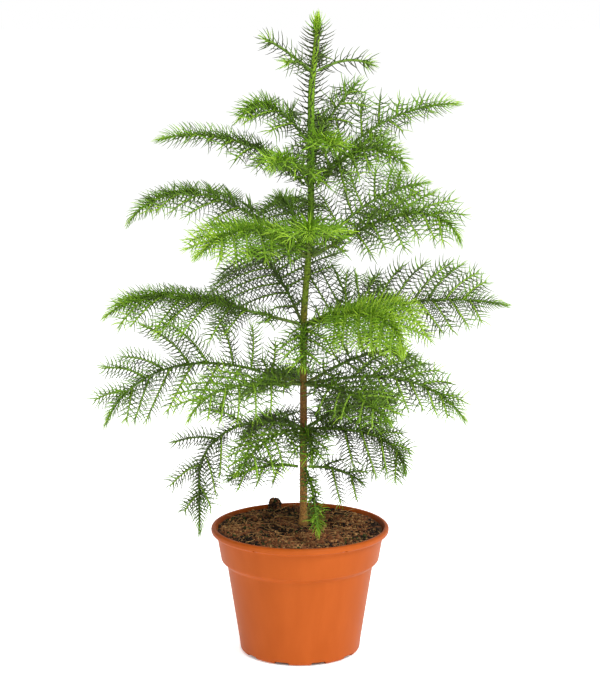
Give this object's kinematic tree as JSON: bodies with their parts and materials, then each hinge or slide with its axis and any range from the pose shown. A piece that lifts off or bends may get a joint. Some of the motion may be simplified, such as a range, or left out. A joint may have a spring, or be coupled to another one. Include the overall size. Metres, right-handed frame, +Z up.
{
  "type": "potted norfolk island pine",
  "caption": "Young Norfolk Island pine with open tiers of arching needle fronds on a slender trunk, growing in a tapered terracotta-coloured plastic nursery pot full of soil.",
  "frame": {"origin": "middle of the pot's flat underside", "axes": "+Z up along the pot's axis towards the leader, -Y towards the viewer of the picture, +X to the viewer's right"},
  "size_m": [0.4089, 0.2854, 0.6274],
  "materials": {
    "pot": "satin moulded plastic",
    "soil": "rough loose peat",
    "bark": "matte",
    "bough": "matte",
    "needles": "satin"
  },
  "bodies": {
    "root": {"pot": "pot", "soil": "soil", "trunk": "bark", "bough_3_1": "bough", "bough_3_2": "bough", "bough_3_3": "bough", "bough_3_4": "bough", "bough_3_5": "bough", "bough_3_6": "bough", "bough_4_1": "bough", "bough_4_2": "bough", "bough_4_3": "bough", "bough_4_4": "bough", "bough_4_5": "bough", "bough_4_6": "bough", "bough_5_1": "bough", "bough_5_2": "bough", "bough_5_3": "bough", "bough_5_4": "bough", "bough_5_5": "bough", "bough_5_6": "bough", "frond_1_1": "needles", "frond_1_2": "needles", "frond_1_3": "needles", "frond_2_1": "needles", "frond_2_2": "needles", "frond_2_3": "needles", "frond_2_4": "needles", "frond_2_5": "needles", "frond_2_6": "needles", "frond_3_1": "needles", "frond_3_2": "needles", "frond_3_3": "needles", "frond_3_4": "needles", "frond_3_5": "needles", "frond_3_6": "needles", "frond_4_1": "needles", "frond_4_2": "needles", "frond_4_3": "needles", "frond_4_4": "needles", "frond_4_5": "needles", "frond_4_6": "needles", "frond_5_1": "needles", "frond_5_2": "needles", "frond_5_3": "needles", "frond_5_4": "needles", "frond_5_5": "needles", "frond_5_6": "needles", "frond_6_1": "needles", "frond_6_2": "needles", "frond_6_3": "needles", "frond_6_4": "needles", "frond_6_5": "needles", "frond_7_1": "needles", "frond_7_2": "needles", "frond_7_3": "needles", "frond_8_1": "needles", "frond_8_2": "needles", "frond_8_3": "needles", "frond_8_4": "needles"}
  },
  "joints": []
}
